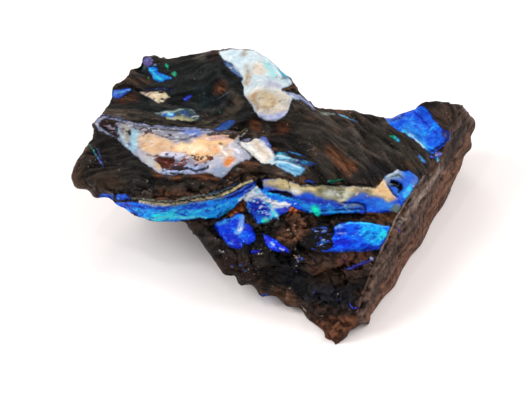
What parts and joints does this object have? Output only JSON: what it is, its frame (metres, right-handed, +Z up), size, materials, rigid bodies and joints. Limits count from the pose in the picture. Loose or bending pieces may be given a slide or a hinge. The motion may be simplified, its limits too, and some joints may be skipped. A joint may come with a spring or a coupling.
{
  "type": "rough opal specimen",
  "caption": "Broken hand-sized lump of brown ironstone with a blue opal seam along its front and pale opal patches on its sloping top.",
  "frame": {"origin": "under the middle of the bounding box, in the plane of the flat base", "axes": "+Z up, +X along the long side towards the flat broken end, -Y towards the front, where the opal seam shows"},
  "size_m": [0.1256, 0.0852, 0.0493],
  "materials": {
    "opal_boulder": "rough dark ironstone with glossy blue, cyan, white and peach opal"
  },
  "bodies": {
    "root": {"opal_boulder": "opal_boulder"}
  },
  "joints": []
}
